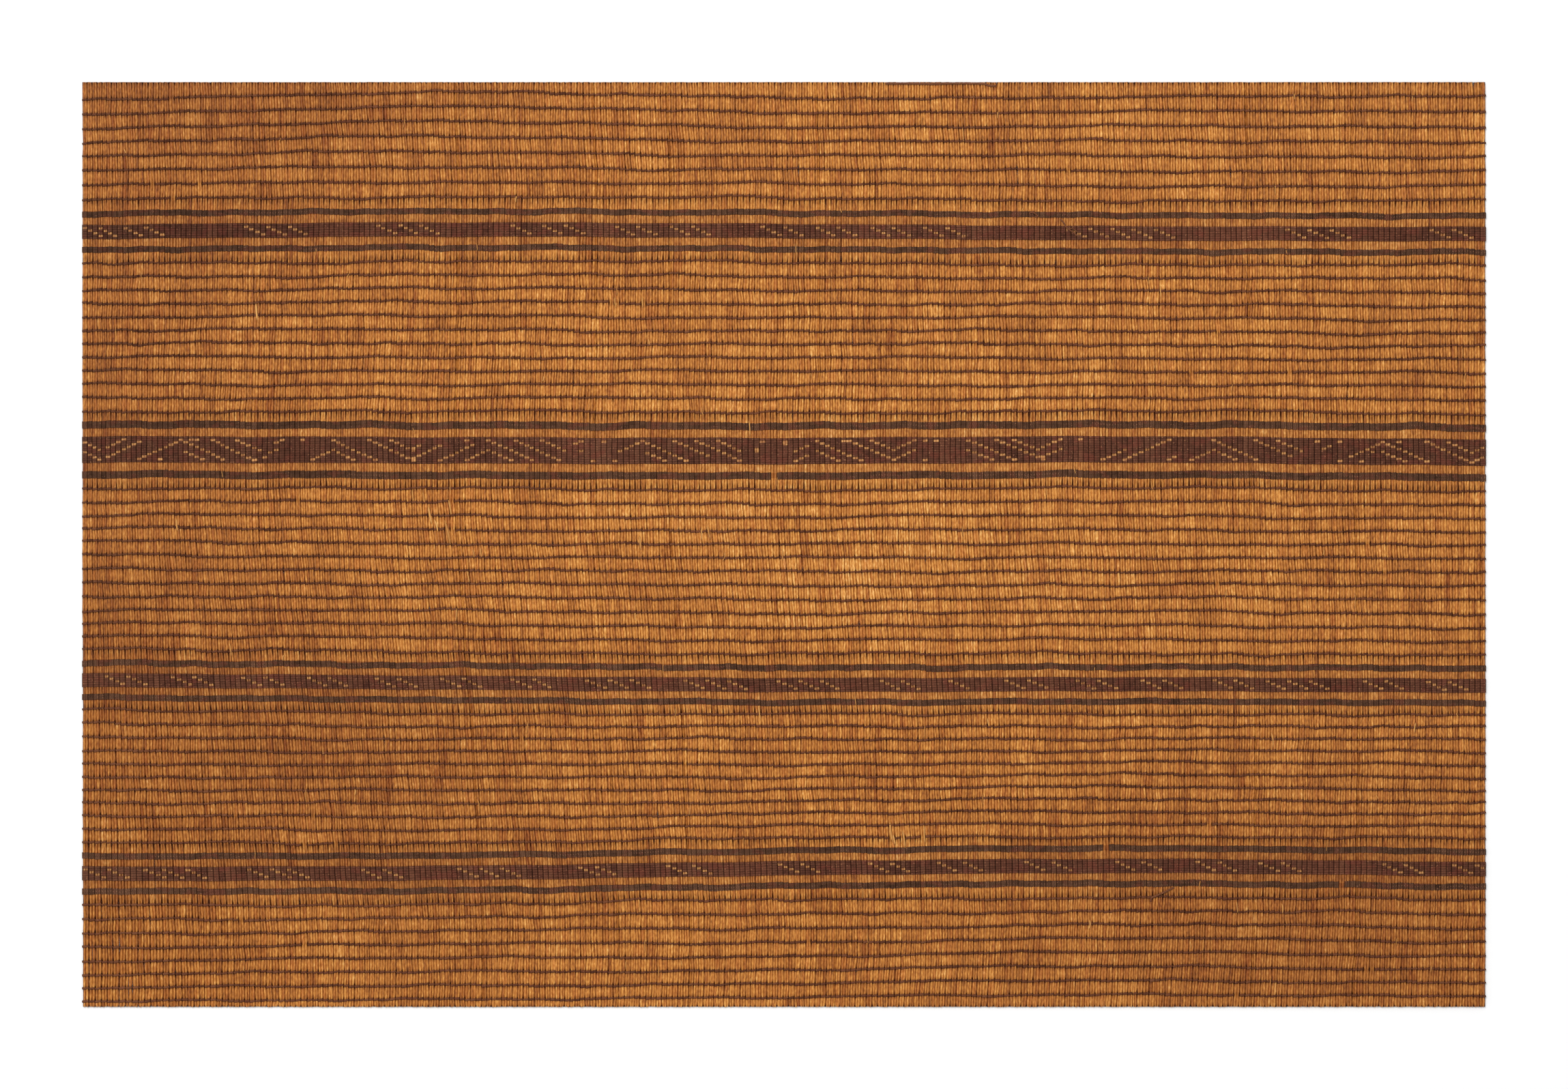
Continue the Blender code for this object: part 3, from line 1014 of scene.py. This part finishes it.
def leather_colour(tree, look, pair, crest, grain):
    """The bare colour of a thong: mottled, faded on some pairs, darker in the pattern, and flushed with
    red and rubbed paler in patches."""
    mottle = noise_over(tree, (170.0, 170.0, 170.0), 3.0)
    blotch = noise_over(tree, (9.0, 14.0, 9.0), 3.0)
    tone = weighted(tree, (attribute(tree, "tone"), 0.40), (mottle, 0.7), (blotch, 0.7), (grain, 0.45),
                    (crest, 0.16))
    colour = ramp(tree, tone, ((0.1, look["dark"]), (0.9, look["light"])))
    own_pair = one_of_many(tree, vector(tree, calculate(tree, "FLOOR", pair), DRAWS["faded"]))
    faded = rescale(tree, own_pair, 0.66, 0.90, 0.0, look["faded"])
    colour = mix(tree, faded, colour, look["rubbed"])
    dyed = calculate(tree, "MULTIPLY", attribute(tree, "pattern"), look["dyed"])
    colour = tint(tree, dyed, colour, LEATHER_TINTS["dyed"])
    flush = noise_over(tree, (60.0, 90.0, 60.0), 3.0)
    colour = mix(tree, rescale(tree, flush, 0.50, 0.66, 0.0, look["flush"]), colour, look["reddish"])
    rub = noise_over(tree, (420.0, 640.0, 500.0))
    rub = calculate(tree, "MULTIPLY_ADD", crest, 0.10, rub)
    rubbed = rescale(tree, rub, 0.74 - look["wear"], 0.86, 0.0, 0.9)
    return mix(tree, rubbed, colour, look["rubbed"])


def leather_material(name, look):
    """Dull thong, dotted and twilled: painted shade in the gaps between pairs, along its edges and in the
    seam where two thongs lie side by side."""
    material, tree = new_material(name)
    pair = attribute(tree, "pair_number")
    side = attribute(tree, "across")
    across = calculate(tree, "ABSOLUTE", side)
    grain = noise_over(tree, (500.0, 2600.0, 2600.0), 3.0)

    # How far a place is from the middle of its reed, and of its pair of reeds
    from_reed = from_half(tree, calculate(tree, "MULTIPLY", pair, 2.0))
    from_middle = from_half(tree, pair)
    crest = rescale(tree, from_reed, 0.10, 0.45, 1.0, 0.0)
    gap = rescale(tree, from_middle, 0.36, 0.50, 0.0, 1.0)
    colour = leather_colour(tree, look, pair, crest, grain)

    # Painted shade in the seam where two thongs lie side by side and along the thong's edges
    seam = rescale(tree, across, 0.0, 0.30, look["seam"], 0.0)
    colour = tint(tree, seam, colour, LEATHER_TINTS["crease_shade"])
    edge = rescale(tree, across, 0.55, 1.0, 0.0, look["edge"])
    colour = tint(tree, edge, colour, LEATHER_TINTS["crease_shade"])
    stretches = noise_over(tree, (16.0, 60.0, 16.0))
    on_crest = rescale(tree, from_reed, 0.08, 0.30, 1.0, 0.0)
    at_edge = rescale(tree, across, 0.55, 1.0, 0.0, look["dots"])
    in_dot = calculate(tree, "MULTIPLY", on_crest, at_edge)
    dots = calculate(tree, "MULTIPLY", in_dot, rescale(tree, stretches, 0.50, 0.62, 0.0, 1.0))
    colour = mix(tree, dots, colour, look["rubbed"])

    turns = calculate(tree, "MULTIPLY", pair, STROKES_IN_PAIR)
    turns = calculate(tree, "MULTIPLY_ADD", side, 0.17, turns)
    strokes = calculate(tree, "SINE", calculate(tree, "MULTIPLY", turns, math.tau))
    twill = rescale(tree, strokes, -1.0, 1.0, look["twill"], 0.0)
    colour = tint(tree, twill, colour, LEATHER_TINTS["twill"])
    colour = tint(tree, attribute(tree, "age"), colour, LEATHER_TINTS["old"])
    # Painted shade in the gaps between pairs
    colour = tint(tree, gap, colour, look["between"])

    height = calculate(tree, "MULTIPLY_ADD", crest, 0.8, grain)
    height = calculate(tree, "MULTIPLY_ADD", seam, -1.5, height)
    height = calculate(tree, "MULTIPLY_ADD", twill, -1.5, height)
    finish_surface(tree, colour, height, LEATHER_BUMP, LEATHER_ROUGHNESS, LEATHER_SPECULAR)
    return material


def make_floor():
    bpy.ops.mesh.primitive_plane_add(size=FLOOR_SIZE)
    floor = bpy.context.object
    floor.name = "floor"
    material, tree = new_material("pale_floor")
    shader = tree.nodes["Principled BSDF"]
    shader.inputs["Base Color"].default_value = FLOOR_COLOUR
    shader.inputs["Roughness"].default_value = FLOOR_ROUGHNESS
    floor.data.materials.append(material)


def make_camera():
    camera = bpy.data.objects.new("camera", bpy.data.cameras.new("camera"))
    camera.location = (0.0, 0.0, CAMERA_HEIGHT)
    camera.data.sensor_width = SENSOR_WIDTH
    camera.data.lens = SENSOR_WIDTH * (CAMERA_HEIGHT - cad_high.z) * WIDTH_SHARE / MAT_WIDTH
    bpy.context.scene.collection.objects.link(camera)
    bpy.context.scene.camera = camera


def make_light():
    world = bpy.data.worlds.new("studio")
    world.use_nodes = True
    sky = world.node_tree.nodes["Background"]
    sky.inputs["Color"].default_value = SKY_COLOUR
    sky.inputs["Strength"].default_value = SKY_STRENGTH
    bpy.context.scene.world = world
    lamp = bpy.data.objects.new("key", bpy.data.lights.new("key", "AREA"))
    lamp.data.shape = "RECTANGLE"
    lamp.data.size = LAMP_SIZE
    lamp.data.size_y = LAMP_SIZE
    lamp.data.energy = LAMP_POWER
    lamp.location = LAMP_PLACE
    lamp.rotation_euler = (-lamp.location.normalized()).to_track_quat("-Z", "Y").to_euler()
    bpy.context.scene.collection.objects.link(lamp)
    bpy.context.scene.view_settings.view_transform = "Standard"


make_camera()
make_light()
make_floor()

reed = reed_material()
brown = leather_material("brown_thong", BROWN_LEATHER)
black = leather_material("black_thong", BLACK_LEATHER)
thin = leather_material("thin_thong", THIN_LEATHER)

widths = reed_widths()
even_x = np.cumsum(widths) - widths / 2 - MAT_WIDTH / 2 + PROUD
rings = reed_rings(even_x)
reeds = make_reeds(widths, *rings, reed)
leather = make_thin_rows(even_x, *rings, thin)
leather += [make_brown_band(number, even_x, *rings, brown) for number in range(len(BANDS))]
leather += [make_black_line(number, even_x, *rings, black) for number in range(2 * len(BANDS))]
extras = [make_slivers(split_reed_material()), *make_loose_thongs(thin)]
